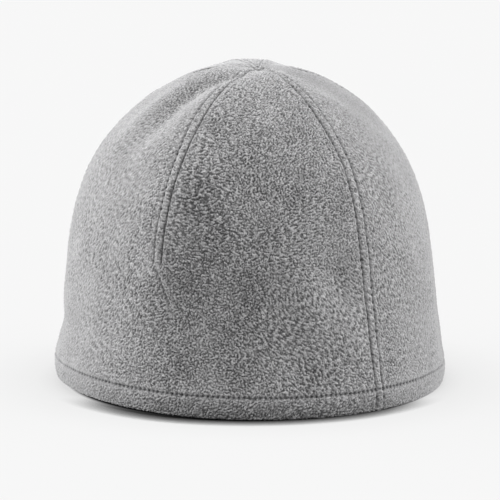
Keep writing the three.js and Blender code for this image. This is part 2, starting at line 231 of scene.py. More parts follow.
def sample(field, u, v):
    x, y = u / TEXEL, v / TEXEL
    i, j = np.floor(x).astype(int), np.floor(y).astype(int)
    a, b = x - i, y - j
    i0, i1, j0, j1 = i % TILE, (i + 1) % TILE, j % TILE, (j + 1) % TILE
    return ((field[j0, i0] * (1 - a) + field[j0, i1] * a) * (1 - b)
            + (field[j1, i0] * (1 - a) + field[j1, i1] * a) * b)


# Which way the tufts run: azimuth, up the wall, direction (degrees, 0 is level, 90 upright), how strongly, and reach.
NAP_RUNS = [
    (-62, 60, 52, 1.0, 30), (-55, 105, 60, 1.0, 26), (-40, 40, 48, 0.7, 20), (-75, 90, 62, 0.9, 26),
    (-20, 96, 4, 0.9, 18), (-22, 122, 0, 0.9, 14), (-8, 85, 8, 0.5, 14), (-10, 60, 20, 0.3, 14),
    (5, 105, -75, 0.6, 10), (8, 128, 55, 0.5, 14), (-3, 150, 30, 0.6, 14), (10, 165, 60, 0.5, 14),
    (14, 34, -40, 1.0, 20), (28, 42, -55, 1.0, 14), (24, 20, -25, 0.6, 12), (6, 76, -8, 0.7, 12), (17, 92, 12, 0.7, 10),
    (50, 60, -58, 0.8, 16), (60, 95, -60, 0.8, 22), (68, 40, -70, 0.6, 20), (85, 80, -75, 0.6, 30),
    (-30, 22, 10, 0.3, 14), (0, 18, -5, 0.2, 14), (120, 70, 60, 0.7, 30), (150, 110, -50, 0.7, 30),
    (180, 60, 30, 0.6, 30), (200, 130, 75, 0.6, 26), (235, 70, -40, 0.7, 30), (250, 120, 55, 0.7, 26),
]


def nap(azimuth, up, u, v):
    """The tufts' height at a place, about -2 to 2, and how drawn out they are there."""
    cos2 = np.full_like(u, 1e-3)
    sin2 = np.zeros_like(u)
    weight = np.full_like(u, 0.12)
    for run_azimuth, run_up, turn, strength, reach in NAP_RUNS:
        across = rad(near(azimuth - run_azimuth)) * np.minimum(wall_half(up), 87.0)
        w = np.exp(-((across ** 2 + (up - run_up) ** 2) / reach ** 2))
        cos2 += w * strength * math.cos(2 * rad(turn))
        sin2 += w * strength * math.sin(2 * rad(turn))
        weight += w
    cos2, sin2 = cos2 / weight, sin2 / weight
    # the direction wanders a little
    wander = 0.35 * sample(SLOW, u, v)
    c, s = np.cos(wander), np.sin(wander)
    cos2, sin2 = cos2 * c - sin2 * s, cos2 * s + sin2 * c
    strength = np.clip(np.hypot(cos2, sin2), 0, 1)
    turn = (0.5 * np.arctan2(sin2, cos2)) % math.pi
    place = turn / math.pi * TURNS
    k = np.floor(place).astype(int) % TURNS
    part = place - np.floor(place)
    value = np.zeros_like(u)
    for j in range(TURNS):
        w = np.where(k == j, 1 - part, 0) + np.where((k + 1) % TURNS == j, part, 0)
        use = w > 0
        if use.any():
            value[use] += w[use] * sample(NAP_TURNED[j], u[use], v[use])
    value /= np.sqrt(part ** 2 + (1 - part) ** 2 + 1.3 * part * (1 - part))
    value = value * strength + sample(NAP_ROUND, u, v) * (1 - strength)
    value /= np.sqrt(strength ** 2 + (1 - strength) ** 2 + 0.8 * strength * (1 - strength))
    value = value - 0.10 * (value ** 2 - 1)
    return np.clip(value, -2.6, 2.4) + 0.85 * sample(NAP_FINE, u, v) + 0.25 * sample(NAP_WIDE, u, v), strength


def coarse_at(azimuth, up):
    """How coarse and deep the pile is: 1 in the middle of the front, where it is curled, and less where it lies smooth.
    The same value sets painted shade in the colour, so its soft spots in the valley, on the crest, beside the dart and
    on the sides also raise or lower painted shade.
    """
    lean = near(azimuth - 1)
    front = np.exp(-(np.abs(lean) / np.where(lean < 0, 37.0 + 8.0 * smooth((110 - up) / 60), 50.0)) ** 3)
    rear = np.exp(-(np.abs(near(azimuth - 178)) / 40.0) ** 3)
    valley = np.exp(-((near(azimuth + 52) / 9.0) ** 2 + ((up - 160) / 18.0) ** 2))
    crest = np.exp(-((near(azimuth + 36) / 7.0) ** 2 + ((up - 160) / 22.0) ** 2))
    beside_dart = np.exp(-((near(azimuth + 14) / 12.0) ** 2 + ((up - 88) / 36.0) ** 2))
    far_side = np.exp(-((near(azimuth + 66) / 13.0) ** 2 + ((up - 177) / 13.0) ** 2))
    upper = np.exp(-((near(azimuth + 45) / 12.0) ** 2 + ((up - 180) / 11.0) ** 2))
    left = np.exp(-((near(azimuth + 66) / 16.0) ** 2 + ((up - 95) / 45.0) ** 2))
    right = np.exp(-((near(azimuth - 25) / 14.0) ** 2 + ((up - 58) / 30.0) ** 2))
    return np.clip(0.2 + (0.85 * front + 0.5 * rear) * (1 - 0.3 * smooth((up - 150) / 30)) + 1.1 * valley + 0.8 * upper + 0.6 * far_side - 0.4 * crest + 0.22 * left - 0.40 * right + 0.22 * beside_dart, 0.15, 1.3)


def seam_parts(azimuth, up, ring):
    """For each seam: how far to its right a place is, its half width there, and where it starts."""
    rows = []
    for name in ORDER:
        turn = rad(near(azimuth - seam_azimuth[name](up)))
        aside = ring * np.sin(turn)
        aside = np.where(np.cos(turn) > 0, aside, 999.0)
        rows.append((name, aside, half_width_of_seam(name, up), SEAMS[name][0]))
    return rows


# Which side of a seam is the crisp fold: 1 is its right side. The other side is the sunk row of stitches.
CRISP = {"centre_front": -1, "dart_right": 1, "dart_back_right": 1, "centre_back": 1, "dart_left": -1,
         "dart_front_left": 1}


def detail_of(azimuth, up, ring, u, v):
    """Seams, puckers, the hem's row and the nap: the height to add, the colour (the nap's tone with painted light and
    shade in it), and the painted shade in grooves and needle holes.
    """
    out = np.zeros_like(u)
    calm = np.ones_like(u)
    shade_in_grooves = np.zeros_like(u)
    lit = np.zeros_like(u)
    for index, (name, aside, half, low) in enumerate(seam_parts(azimuth, up, ring)):
        far = np.abs(aside) - half
        if not (far < 12).any():
            continue
        crisp = np.sign(aside) * CRISP[name] > 0
        flat = 0.35 if name in ("dart_left", "dart_right") else 1.0
        if name not in ("centre_front", "dart_front_left"):
            flat = flat * (1 - 0.75 * smooth((up - 160) / 25))
        dart = low > 0
        lines = smooth((up - low - 0.5) / 4.5) if dart else 1.0       # the two lines run out at a dart's end
        lines = lines * (0.5 + 0.5 * smooth((WALL_LENGTH - up - 4) / 26))
        raised = smooth((up - low + 1.0) / 8.0) if dart else 1.0
        uneven = sample(SLOW_B, up * 9 + 40 * index, np.where(aside > 0, 70.0, 10.0) + 30.0 * index)
        phase = 2 * math.pi * (up / SEAM_PITCH + 0.37 * index)
        hole = (0.5 + 0.5 * np.cos(phase)) ** 2 * np.clip(0.85 + 0.3 * uneven, 0.2, 1.3)
        pucker = np.cos(phase + 0.8 + 0.5 * uneven) + 0.5 * sample(SLOW_C, up * 16 + 9 * index, aside * 3)
        strip = smooth(-far / 1.7)
        out -= flat * raised * SEAM_TROUGH * np.exp(-(np.maximum(far, 0) / 2.8) ** 1.5)
        out += flat * raised * strip * (0.55 + 0.32 * pucker)
        # depth and width of the seam's two grooves, and how dark the painted shade in them is
        if dart:
            depth = np.where(crisp, 0.78 + 0.22 * hole, 0.20 + 0.72 * hole)
            wide = np.where(crisp, 0.42, 0.44 + 0.14 * hole)
            dark = np.where(crisp, 0.62 + 0.48 * hole, 0.14 + 1.0 * hole)
        else:
            depth = np.where(crisp, 0.44 + 0.52 * hole, 0.30 + 0.66 * hole)
            wide = 0.40 + 0.16 * hole
            dark = np.where(crisp, 0.48 + 0.75 * hole, 0.26 + 1.0 * hole)
        # painted highlight: the seam's raised strip and its edges are made lighter
        lit += lines * smooth((1.2 - far) / 1.6) * (0.10 + 0.09 * pucker)
        dip = np.exp(-(far / wide) ** 2) * lines
        out -= (0.4 + 0.6 * flat) * depth * dip
        # painted shade: the colour is darkened in the seam's grooves and needle holes
        shade_in_grooves = np.maximum(shade_in_grooves, np.minimum(np.exp(-(far / wide) ** 2) * lines * dark, 1.0))
        shoulder = np.exp(-((far - 1.3) / 1.0) ** 2) * (far > 0)
        out += flat * lines * shoulder * (0.17 + np.where(crisp, 0.03, 0.08) * pucker)
        # the cloth is drawn in beside the seam
        drawn = np.exp(-(np.maximum(far, 0) / 4.5) ** 2) * smooth(far / 1.2)
        out += lines * drawn * 0.13 * np.sin(2 * math.pi * up / 5.3 + 3.0 * sample(SLOW, up * 3, 11.0 * index + 0 * up))
        reach = np.where(crisp & dart, 5.5, 2.6)
        quiet = np.where(far < 0, 0.62 * smooth(-far / 0.7),
                         smooth(far / 0.7) * (0.42 + 0.58 * smooth((far - 0.5) / reach)))
        calm = np.minimum(calm, 1 - lines * (1 - quiet))
    # a crease runs on from the end of the front dart, down and to the right, with painted shade in its fold and a
    # painted highlight on its ridge
    across = rad(near(azimuth + 27.0 - (66 - up) * 0.2645)) * 88.0
    reach = smooth((up - 48) / 6) * smooth((70 - up) / 3)
    out += reach * (0.6 * np.exp(-((across - 0.7) / 0.9) ** 2) - 0.7 * np.exp(-((across + 1.0) / 0.7) ** 2))
    # painted shade in the crease's fold
    shade_in_grooves = np.maximum(shade_in_grooves, 0.5 * reach * np.exp(-((across + 1.0) / 0.6) ** 2))
    calm = np.minimum(calm, 1 - 0.5 * reach * np.exp(-(across / 2.2) ** 2))
    # painted highlight on the crease's ridge
    lit += 0.18 * reach * np.exp(-((across - 0.7) / 0.9) ** 2)
    # the row of stitches that holds the hem
    row = up - HEM_TOP
    along = rad(azimuth) * 94.0
    uneven = sample(SLOW_B, along * 9, 0 * u)
    hole = (0.5 + 0.5 * np.cos(2 * math.pi * along / HEM_PITCH)) ** 2 * np.clip(0.9 + 0.25 * uneven, 0.3, 1.3)
    dip = np.exp(-(row / (0.40 + 0.10 * hole)) ** 2)
    faint = 1 - 0.5 * np.exp(-((np.abs(near(azimuth)) - 74) / 20.0) ** 2)     # the pile hides the row more at the sides
    out -= (0.30 + 1.10 * hole) * dip * faint
    out += (0.08 + 0.05 * np.cos(2 * math.pi * along / HEM_PITCH)) * np.exp(-((np.abs(row) - 1.3) / 1.0) ** 2)
    out += 0.18 * np.exp(-((row - 2.0) / 4.5) ** 2) * sample(SLOW_C, along * 2.2, up * 0.8)
    calm = np.minimum(calm, smooth((np.abs(row) - 0.4) / 1.0) * (0.35 + 0.65 * smooth((np.abs(row) - 0.9) / 2.2)))
    # painted shade in the hem's row of stitches and its needle holes
    shade_in_grooves = np.maximum(shade_in_grooves, np.minimum(np.exp(-(row / 0.70) ** 2) * (0.30 + 1.5 * hole) * faint, 1.0))
    # loose unevenness of soft cloth
    out += 0.13 * sample(SLOW, u, v) * smooth((up - 3) / 8) * smooth((WALL_LENGTH - up) / 30)
    tufts, drawn_out = nap(azimuth, up, u, v)
    close = smooth((WALL_LENGTH - up - 4) / 30)
    coarse_and_shade = coarse_at(azimuth, up)
    depth = NAP_DEPTH * calm * (0.22 + 0.78 * coarse_and_shade) * (0.45 + 0.55 * close) * (1 + 0.18 * sample(SLOW_B, u, v))
    out += depth * tufts
    # painted light and shade: soft spots made lighter or darker on the left panel, beside the dart, on the lower front,
    # in the upper valley, on the far left side and on the right shoulder
    lit += 0.05 * np.exp(-((near(azimuth + 62) / 22.0) ** 2 + ((up - 75) / 45.0) ** 2))
    lit -= 0.16 * np.exp(-((near(azimuth + 18) / 8.0) ** 2 + ((up - 92) / 28.0) ** 2))
    lit -= 0.05 * np.exp(-((near(azimuth + 8) / 18.0) ** 2 + ((up - 66) / 36.0) ** 2))
    lit -= 0.17 * np.exp(-((near(azimuth + 44) / 11.0) ** 2 + ((up - 181) / 10.0) ** 2))
    lit -= 0.20 * np.exp(-((near(azimuth + 66) / 13.0) ** 2 + ((up - 177) / 13.0) ** 2))
    lit -= 0.20 * np.exp(-((near(azimuth - 72) / 26.0) ** 2 + ((up - 180) / 15.0) ** 2))
    lit -= 0.12 * np.exp(-((near(azimuth - 78) / 20.0) ** 2 + ((up - 150) / 22.0) ** 2))
    shade = 0.16 * np.exp(-((near(azimuth + 53) / 9.0) ** 2 + ((up - 162) / 16.0) ** 2))     # painted shade in the valley of the upper left fold
    # the colour: the tufts' tone with painted shade in the gaps between them, stronger and darker overall where the
    # pile is coarse, plus the painted light and shade above
    return out, np.clip(0.52 + lit - shade - 0.09 * coarse_and_shade + 0.40 * tufts * coarse_and_shade * (0.25 + 0.75 * calm), 0, 1), shade_in_grooves


def outer(azimuth, up, ring, u, v):
    point, normal, at, plan = base_face(azimuth, up, ring)
    out = shape_of(azimuth, up, at, plan, point[..., 0], point[..., 1])
    inner_out = out.copy()
    fine, tone, groove_shade = detail_of(azimuth, up, ring, u, v)
    out = out + fine
    out += HEM_BULGE * np.sin(math.pi * np.clip(up / HEM_TALL, 0, 1))
    raised = lift_curve(near(azimuth)) * (1 - smooth(point[..., 2] / 60))
    shown = point + normal * out[..., None]
    shown[..., 2] += raised
    plain = point + normal * inner_out[..., None]
    plain[..., 2] += raised
    return shown, plain, normal, tone, groove_shade


def beside(name, up, aside):
    r = np.maximum(wall_half(up), 1e-3)
    opening = 1 - smooth((r - 8) / 17)
    return seam_azimuth[name](up) + np.degrees(np.arctan2(aside, r)), np.sqrt(r * r + aside * aside * opening)


# ---- Meshes ------------------------------------------------------------------------------------------------------
def zip_rows(low, low_at, high, high_at):
    """Triangles between two rows of points, each with its places along the row. Faces look out when the rows run right."""
    low, high = np.asarray(low), np.asarray(high)
    lm = (low_at[1:] + low_at[:-1]) / 2
    hm = (high_at[1:] + high_at[:-1]) / 2
    made = []
    if len(lm):
        k = np.searchsorted(hm, lm, side="left")
        made.append(np.stack([low[:-1], low[1:], high[k]], axis=1))
    if len(hm):
        j = np.searchsorted(lm, hm, side="right")
        made.append(np.stack([low[j], high[1:], high[:-1]], axis=1))
    return np.concatenate(made) if made else np.zeros((0, 3), int)


class Shell:
    """The points and triangles of one piece. Each triangle is of a kind: 0 the outer face, 1 the inside, 2 an edge."""

    def __init__(self, name):
        self.name = name
        self.points, self.tone, self.groove_shade, self.uv = [], [], [], []
        self.count = 0
        self.triangles, self.kinds = [], []

    def add(self, points, tone, groove_shade, uv):
        n = len(points)
        self.points.append(points)
        self.tone.append(np.broadcast_to(tone, (n,)).astype(float))
        self.groove_shade.append(np.broadcast_to(groove_shade, (n,)).astype(float))
        self.uv.append(uv)
        self.count += n
        return np.arange(self.count - n, self.count)

    def face(self, triangles, kind):
        self.triangles.append(triangles)
        self.kinds.append(np.full(len(triangles), kind))

    def done(self):
        self.points = np.concatenate(self.points)
        self.tone = np.concatenate(self.tone)
        self.groove_shade = np.concatenate(self.groove_shade)
        self.uv = np.concatenate(self.uv)
        self.triangles = np.concatenate(self.triangles)
        self.kinds = np.concatenate(self.kinds)
        p = self.points
        a, b, c = (p[self.triangles[:, i]] for i in range(3))
        keep = np.linalg.norm(np.cross(b - a, c - a), axis=1) > 1e-9
        self.triangles, self.kinds = self.triangles[keep], self.kinds[keep]
        return self


ROWS = np.arange(HEM_TOP, up_at_half(2.7), GRID)
DART_ROW = int(np.searchsorted(ROWS, 67.9)) - 1          # the last row below the darts
R_CHART = float(wall_half(68.0))


def spaced(width, fine_left, fine_right):
    """Places across a row, closer together beside a seam."""
    if width < 4.0:
        return np.linspace(0, width, max(2, int(round(width / 0.36)) + 1))
    left = [0, 0.22, 0.45, 0.7, 1.0, 1.4] if fine_left else [0]
    right = [0, 0.22, 0.45, 0.7, 1.0, 1.4] if fine_right else [0]
    a, b = left[-1], width - right[-1]
    n = max(1, int(round((b - a) / GRID)))
    middle = a + (b - a) * np.arange(1, n) / n
    middle = middle + random.uniform(-0.09, 0.09, len(middle))
    return np.concatenate([left, middle, width - np.array(right[::-1])])


def lobe(name, left_seam, right_seam):
    shell = Shell(name)
    jitter = random.uniform(-0.09, 0.09, 200000)
    used = 0
    rows, azs, rings, ups, places, middle = [], [], [], [], [], None
    for k, up in enumerate(ROWS):
        def edge(seam, side):
            wide = half_width_of_seam(seam, up) if (not SEAMS[seam][0] or k > DART_ROW) else 0.0
            a, r = beside(seam, np.array(up), np.array(side * wide))
            return float(a), float(r), wide > 0
        aa, ra, fine_a = edge(left_seam, 1)
        ab, rb, fine_b = edge(right_seam, -1)
        if ab < aa:
            ab += 360.0
        width = rad(ab - aa) * (ra + rb) / 2
        d = spaced(width, fine_a, fine_b)
        t = d / width
        shake = np.zeros(len(t))
        if 0 < k < len(ROWS) - 1 and len(t) > 2:
            shake[1:-1] = jitter[used:used + len(t) - 2]
            used += len(t) - 2
        azs.append(aa + (ab - aa) * t)
        ups.append(up + shake)
        rings.append(ra + (rb - ra) * t + wall_half(up + shake) - wall_half(up))
        places.append(t)
    sizes = [len(t) for t in places]
    start = np.concatenate([[0], np.cumsum(sizes)])
    az, up, ring = np.concatenate(azs), np.concatenate(ups), np.concatenate(rings)
    mid = (float(seam_azimuth[left_seam](68.0)) + float(seam_azimuth[right_seam](68.0))
           + (360.0 if azs[0][-1] > 360 and seam_azimuth[right_seam](68.0) < seam_azimuth[left_seam](68.0) else 0.0)) / 2
    chart_r = np.minimum(wall_half(up), R_CHART)
    u = rad(mid) * R_CHART + rad(az - mid) * chart_r
    v = up
    shown, plain, normal, tone, groove_shade = outer(az, up, ring, u, v)
    uv = np.stack([(u - rad(mid) * R_CHART) / 204.0 + 0.26, (v - HEM_TOP) / 200.0 + 0.005], axis=1)
    ids = shell.add(shown, tone, groove_shade, uv)
    row_ids = [ids[start[k]:start[k + 1]] for k in range(len(ROWS))]
    for k in range(len(ROWS) - 1):
        at = azs if k == DART_ROW else places                # the rows change width where the darts start
        shell.face(zip_rows(row_ids[k], at[k], row_ids[k + 1], at[k + 1]), 0)
    # the inside, with fewer points
    inner_rows = sorted(set(range(0, len(ROWS) - 1, INNER_STEP)) | {len(ROWS) - 1})
    pick, inner_places, inner_azs, inner_start = [], [], [], [0]
    for k in inner_rows:
        n = sizes[k]
        which = np.unique(np.round(np.linspace(0, n - 1, max(2, int(round((n - 1) / INNER_STEP)) + 1))).astype(int))
        pick.append(start[k] + which)
        inner_places.append(places[k][which])
        inner_azs.append(azs[k][which])
        inner_start.append(inner_start[-1] + len(which))
    pick = np.concatenate(pick)
    roughness = 0.10 * sample(NAP_ROUND, u[pick] * 0.9 + 60, v[pick] * 0.9)
    inside = plain[pick] - normal[pick] * (CLOTH + roughness)[:, None]
    inside_uv = np.stack([(u[pick] - rad(mid) * R_CHART) / 420.0 + 0.66, (v[pick] - HEM_TOP) / 410.0 + 0.01], axis=1)
    inner_ids = shell.add(inside, np.clip(0.5 + 2.0 * roughness, 0, 1), 0.0, inside_uv)
    inner = [inner_ids[inner_start[i]:inner_start[i + 1]] for i in range(len(inner_rows))]
    for i in range(len(inner) - 1):
        at = inner_azs if inner_rows[i] <= DART_ROW < inner_rows[i + 1] else inner_places
        shell.face(zip_rows(inner[i], at[i], inner[i + 1], at[i + 1])[:, ::-1], 1)
    # the cut edges
    shell.face(zip_rows(inner[0], inner_places[0], row_ids[0], places[0]), 2)
    shell.face(zip_rows(row_ids[-1], places[-1], inner[-1], inner_places[-1]), 2)
    left = np.array([r[0] for r in row_ids]), np.arange(len(ROWS), dtype=float)
    right = np.array([r[-1] for r in row_ids]), np.arange(len(ROWS), dtype=float)
    inner_left = np.array([r[0] for r in inner]), np.array(inner_rows, float)
    inner_right = np.array([r[-1] for r in inner]), np.array(inner_rows, float)
    shell.face(zip_rows(*left, *inner_left), 2)
    shell.face(zip_rows(*inner_right, *right), 2)
    return shell.done()


WELT_ACROSS = np.array([-1.0, -0.92, -0.83, -0.73, -0.58, -0.38, -0.13, 0.13, 0.38, 0.58, 0.73, 0.83, 0.92, 1.0])
WELT_UNDER = np.array([-1.0, -0.55, 0.0, 0.55, 1.0])


def welt(name, stations, tip=False):
    """A stitched seam: stations are (seam, up, flip, path length)."""
    shell = Shell(name)
    azs, ups, rings, asides, alongs = [], [], [], [], []
    for index, (seam, up, flip, path) in enumerate(stations):
        wide = 0.0 if tip and index == 0 else float(half_width_of_seam(seam, up))
        across = WELT_ACROSS * wide
        a, r = beside(seam, np.array(up), (-1 if flip else 1) * across)
        azs.append(np.broadcast_to(a, across.shape))
        rings.append(np.broadcast_to(r, across.shape))
        ups.append(np.full(across.shape, up))
        asides.append(across)
        alongs.append(np.full(across.shape, path))
    az, up, ring, aside, along = (np.concatenate(x) for x in (azs, ups, rings, asides, alongs))
    n = len(WELT_ACROSS)
    # a dart's strip carries on the pattern of the cloth below it
    shift_u = rad(float(seam_azimuth[stations[0][0]](68.0))) * R_CHART if tip else 31.0
    shown, plain, normal, tone, groove_shade = outer(az, up, ring, aside + shift_u, along)
    length = max(along) - min(along)
    uv = np.stack([0.03 + (aside + 2.5) / 5.0 * 0.03, 0.01 + 0.97 * (along - min(along)) / length], axis=1)
    if tip:           # the end tucks in under the seam over the top
        drop = smooth((4.2 - ring) / 2.4) * 0.55
        shown = shown - normal * drop[:, None]
    ids = shell.add(shown, tone, groove_shade, uv).reshape(-1, n)
    for k in range(len(ids) - 1):
        shell.face(zip_rows(ids[k], WELT_ACROSS, ids[k + 1], WELT_ACROSS), 0)
    rows = sorted(set(range(0, len(stations) - 1, INNER_STEP)) | {len(stations) - 1})
    under = []
    for k in rows:
        at = np.array([int(np.argmin(np.abs(WELT_ACROSS - x))) for x in WELT_UNDER])
        take = k * n + at
        deep = CLOTH + np.where(np.abs(WELT_UNDER) > 0.9, 0.5, WELT_INSIDE)
        under.append(shell.add(plain[take] - normal[take] * deep[:, None], 0.5, 0.0,
                               uv[take] * np.array([1.0, 1.0]) + np.array([0.06, 0.0])))
    for i in range(len(under) - 1):
        shell.face(zip_rows(under[i], WELT_UNDER, under[i + 1], WELT_UNDER)[:, ::-1], 1)
    shell.face(zip_rows(under[0], WELT_UNDER, ids[0], WELT_ACROSS), 2)
    shell.face(zip_rows(ids[-1], WELT_ACROSS, under[-1], WELT_UNDER), 2)
    steps, inner_steps = np.arange(len(stations), dtype=float), np.array(rows, float)
    shell.face(zip_rows(ids[:, 0], steps, np.array([r[0] for r in under]), inner_steps), 2)
    shell.face(zip_rows(np.array([r[-1] for r in under]), inner_steps, ids[:, -1], steps), 2)
    return shell.done()


def hem():
    """The turned-up hem: the outer face, the rounded foot, the inside and its raw edge, swept all round."""
    columns = 1180
    azimuth = 360.0 * np.arange(columns) / columns
    face_rows = np.append(np.arange(HEM_TOP, 1.9, -0.5), 1.6)
    shell = Shell("hem_fleece_band")
    section = []
    for up in face_rows:
        section.append(("face", up, 0.0, up))
    turns = np.linspace(0, math.pi, 15)[1:-1]
    for t in turns:                                     # round under the foot
        cx, sz = math.cos(t), math.sin(t)
        across = 0.5 - 0.5 * math.copysign(abs(cx) ** (2 / 2.7), cx)
        section.append(("foot", 1.6, across, 1.6 * (1 - abs(sz) ** (2 / 2.7))))
    for z in np.arange(1.6, 11.7, 1.15):
        section.append(("in", z, 1.0, z))
    for across, z in ((0.97, 12.1), (0.86, 12.55), (0.68, 12.5), (0.55, 12.1), (0.52, 11.0), (0.50, 10.25), (0.15, 10.2)):
        section.append(("raw", min(z, 11.0), across, z))
    n = len(section)
    up = np.array([s[1] for s in section])
    across = np.array([s[2] for s in section])
    level = np.array([s[3] for s in section])
    A, U = np.meshgrid(azimuth, up, indexing="ij")
    u = rad(A) * R_CHART
    arc = np.concatenate([[0], np.cumsum(np.hypot(np.diff(across) * HEM_THICK, np.diff(level)))])
    V = np.broadcast_to(-arc + HEM_TOP, A.shape)
    ring = wall_half(U)
    shown, plain, normal, tone, groove_shade = outer(A.ravel(), U.ravel(), ring.ravel(), u.ravel(), V.ravel())
    shown, plain, normal = (x.reshape(columns, n, 3) for x in (shown, plain, normal))
    tone, groove_shade = tone.reshape(columns, n), groove_shade.reshape(columns, n)
    level_out = normal.copy()
    level_out[..., 2] = 0
    level_out /= np.linalg.norm(level_out, axis=-1, keepdims=True)
    kinds = np.array([s[0] for s in section])
    points = shown.copy()
    other = kinds != "face"
    bulged = HEM_BULGE * np.sin(math.pi * np.clip(up / HEM_TALL, 0, 1))
    raised = lift_curve(near(A)) * (1 - smooth(level[None, :] / 60))
    base = plain + level_out * np.where(kinds == "foot", bulged * (1 - across), 0)[None, :, None]
    base = base - level_out * (HEM_THICK * across)[None, :, None]
    base[..., 2] = level[None, :] + raised
    tufts = (tone - 0.5) * 4 * NAP_DEPTH * 0.8
    seam_like = shown - plain
    foot = kinds == "foot"
    out_dir = level_out * (1 - 2 * across)[None, :, None]
    out_dir[..., 2] -= np.where(foot, np.sin(math.pi * np.clip(across, 0, 1)), 0)[None, :]
    out_dir /= np.maximum(np.linalg.norm(out_dir, axis=-1, keepdims=True), 1e-6)
    # the seam's ridge runs on round the foot
    bump = np.zeros_like(A)
    for name in ("centre_front", "centre_back"):
        aside = R_CHART * 1.09 * np.sin(rad(near(A - seam_azimuth[name](0.0))))
        aside = np.where(np.abs(near(A - seam_azimuth[name](0.0))) < 60, aside, 99.0)
        far = np.abs(aside) - 2.3
        bump += 0.35 * smooth(-far / 1.0) - 0.6 * np.exp(-(far / 0.5) ** 2)
    moved = base + out_dir * ((tufts + bump * np.clip(1 - across, 0, 1)[None, :])
                              * np.where(kinds == "raw", 0.3, 1.0)[None, :])[..., None]
    inside_row = np.exp(-((level - 10.4) / 0.5) ** 2) * (kinds == "in")
    moved -= out_dir * (0.5 * inside_row)[None, :, None]
    points[:, other] = moved[:, other]
    points[..., 2] = np.maximum(points[..., 2], 0.03)
    flat_tone = tone.copy()
    ids = shell.add(points.reshape(-1, 3), flat_tone.ravel(), (groove_shade * (kinds == "face")).ravel(),
                    np.zeros((columns * n, 2))).reshape(columns, n)
    nxt = np.roll(ids, -1, axis=0)
    faces, kind, uvs = [], [], []
    length = arc[-1] + math.hypot(0.15 * HEM_THICK, 0.4)
    arcs = np.append(arc, length)
    for k in range(n):
        up_k = (k + 1) % n
        a, b, c, d = ids[:, k], nxt[:, k], nxt[:, up_k], ids[:, up_k]
        faces.append(np.stack([b, a, d], axis=1))
        faces.append(np.stack([b, d, c], axis=1))
        what = 0 if k < len(face_rows) + len(turns) else 1
        kind.append(np.full(2 * columns, what))
        quarter = (np.arange(columns) * 4) // columns
        x0 = (np.arange(columns) - quarter * (columns // 4)) / (columns / 4) * 0.97 + 0.01
        x1 = x0 + 0.97 / (columns / 4)
        y0 = quarter * 0.25 + 0.01 + 0.23 * arcs[k] / length
        y1 = quarter * 0.25 + 0.01 + 0.23 * arcs[k + 1] / length
        ua, ub, uc, ud = (np.stack(s, axis=1) for s in ((x0, y0), (x1, y0), (x1, y1), (x0, y1)))
        uvs.append(np.stack([ub, ua, ud], axis=1))
        uvs.append(np.stack([ub, ud, uc], axis=1))
    shell.face(np.concatenate(faces), 0)
    shell.kinds = [np.concatenate(kind)]
    shell.loop_uv = np.concatenate(uvs)
    shell.points = np.concatenate(shell.points)
    shell.tone, shell.groove_shade, shell.uv = (np.concatenate(x) for x in (shell.tone, shell.groove_shade, shell.uv))
    shell.triangles, shell.kinds = np.concatenate(shell.triangles), np.concatenate(shell.kinds)
    return shell


shells = {}
for left_seam, right_seam, name in (
        ("dart_front_left", "centre_front", "crown_left_front"), ("dart_left", "dart_front_left", "crown_left_side"),
        ("centre_back", "dart_left", "crown_left_back"), ("centre_front", "dart_right", "crown_right_front"),
        ("dart_right", "dart_back_right", "crown_right_side"), ("dart_back_right", "centre_back", "crown_right_back")):
    shells[name] = lobe(name, left_seam, right_seam)

top_rows = np.append(ROWS, np.arange(ROWS[-1] + 0.4, WALL_LENGTH - 0.05, 0.4))
up_front = [("centre_front", float(up), False, float(up)) for up in top_rows]
over_top = [("centre_front", float(WALL_LENGTH), False, float(WALL_LENGTH))]
down_back = [("centre_back", float(up), True, float(2 * WALL_LENGTH - up)) for up in top_rows[::-1]]
shells["seam_centre"] = welt("seam_centre", up_front + over_top + down_back)
dart_rows = ROWS[DART_ROW:]
dart_rows = np.append(dart_rows, np.arange(dart_rows[-1] + 0.4, float(up_at_half(1.3)), 0.4))
for seam, name in (("dart_front_left", "seam_dart_front_left"), ("dart_left", "seam_dart_left"),
                   ("dart_right", "seam_dart_right"), ("dart_back_right", "seam_dart_back_right")):
    shells[name] = welt(name, [(seam, float(up), False, float(up)) for up in dart_rows], tip=True)
shells["hem_fleece_band"] = hem()

# ---- One set of normals over all outer faces, so that no join shows where the cloth runs on -----------------------
order = list(shells)
offset, total = {}, 0
for name in order:
    offset[name] = total
    total += len(shells[name].points)
everything = np.concatenate([shells[n].points for n in order])
_, same = np.unique(np.round(everything, 3), axis=0, return_inverse=True)
same = same.ravel()
outer_triangles = np.concatenate([shells[n].triangles[shells[n].kinds == 0] + offset[n] for n in order])
inner_triangles = np.concatenate([shells[n].triangles[shells[n].kinds == 1] + offset[n] for n in order])


def vertex_normals(triangles):
    a, b, c = (everything[triangles[:, i]] for i in range(3))
    face = np.cross(b - a, c - a)
    total_n = np.zeros((same.max() + 1, 3))
    for i in range(3):
        for axis in range(3):
            total_n[:, axis] += np.bincount(same[triangles[:, i]], face[:, axis], len(total_n))
    return (total_n / np.maximum(np.linalg.norm(total_n, axis=1, keepdims=True), 1e-12))[same]


outer_normals = vertex_normals(outer_triangles)
inner_normals = vertex_normals(inner_triangles)


